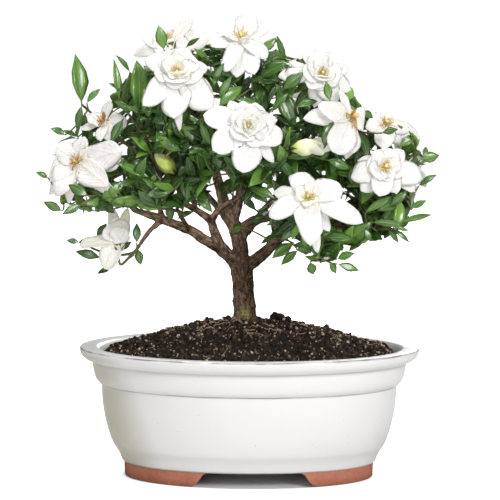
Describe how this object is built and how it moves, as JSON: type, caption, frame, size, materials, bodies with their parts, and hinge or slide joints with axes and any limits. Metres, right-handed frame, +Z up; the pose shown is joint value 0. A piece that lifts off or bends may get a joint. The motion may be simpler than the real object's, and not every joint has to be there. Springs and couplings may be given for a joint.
{
  "type": "potted gardenia",
  "caption": "Bonsai-style gardenia shrub with white blooms, buds and glossy leaves, rooted in a soil mound in an oval glazed pot on two clay feet.",
  "frame": {"origin": "under the middle of the whole object, on the surface it stands on", "axes": "+Z up, +X along the long side of the pot to the viewer's right, -Y towards the viewer of the picture"},
  "size_m": [0.2466, 0.1778, 0.278],
  "materials": {
    "pot_glaze": "glossy warm white glaze, bare clay at the feet",
    "drain_screen": "matt black",
    "soil": "loose dark potting mix",
    "bark": "rough brown bark",
    "leaf": "glossy leathery leaf",
    "petal": "soft waxy white",
    "bloom_heart": "soft yellow",
    "bud": "satin yellow green"
  },
  "bodies": {
    "root": {"bloom_back_left": "petal", "bloom_back_low": "petal", "bloom_back_right": "petal", "bloom_centre": "petal", "bloom_far_right": "petal", "bloom_left": "petal", "bloom_left_top": "petal", "bloom_low_left": "petal", "bloom_low_right": "petal", "bloom_right": "petal", "bloom_right_top": "petal", "bloom_top": "petal", "bloom_top_left": "petal", "bloom_upper_left": "petal", "bloom_upper_right": "petal", "bud_left": "bud", "bud_right": "bud", "drain_screen_left": "drain_screen", "drain_screen_right": "drain_screen", "heart_back_left": "bloom_heart", "heart_back_low": "bloom_heart", "heart_back_right": "bloom_heart", "heart_centre": "bloom_heart", "heart_far_right": "bloom_heart", "heart_left": "bloom_heart", "heart_left_top": "bloom_heart", "heart_low_left": "bloom_heart", "heart_low_right": "bloom_heart", "heart_right": "bloom_heart", "heart_right_top": "bloom_heart", "heart_top": "bloom_heart", "heart_top_left": "bloom_heart", "heart_upper_left": "bloom_heart", "heart_upper_right": "bloom_heart", "pot": "pot_glaze", "soil": "soil", "spray_back_left": "leaf", "spray_back_low": "leaf", "spray_back_mid": "leaf", "spray_back_right": "leaf", "spray_back_top": "leaf", "spray_bud_left": "leaf", "spray_centre": "leaf", "spray_droop": "leaf", "spray_inner_left": "leaf", "spray_inner_right": "leaf", "spray_left": "leaf", "spray_left_low": "leaf", "spray_left_top": "leaf", "spray_low_centre": "leaf", "spray_low_right": "leaf", "spray_right": "leaf", "spray_right_low": "leaf", "spray_right_mid": "leaf", "spray_top": "leaf", "spray_top_left": "leaf", "spray_twig": "leaf", "spray_upper_left": "leaf", "spray_upper_right": "leaf", "tree": "bark"}
  },
  "joints": []
}
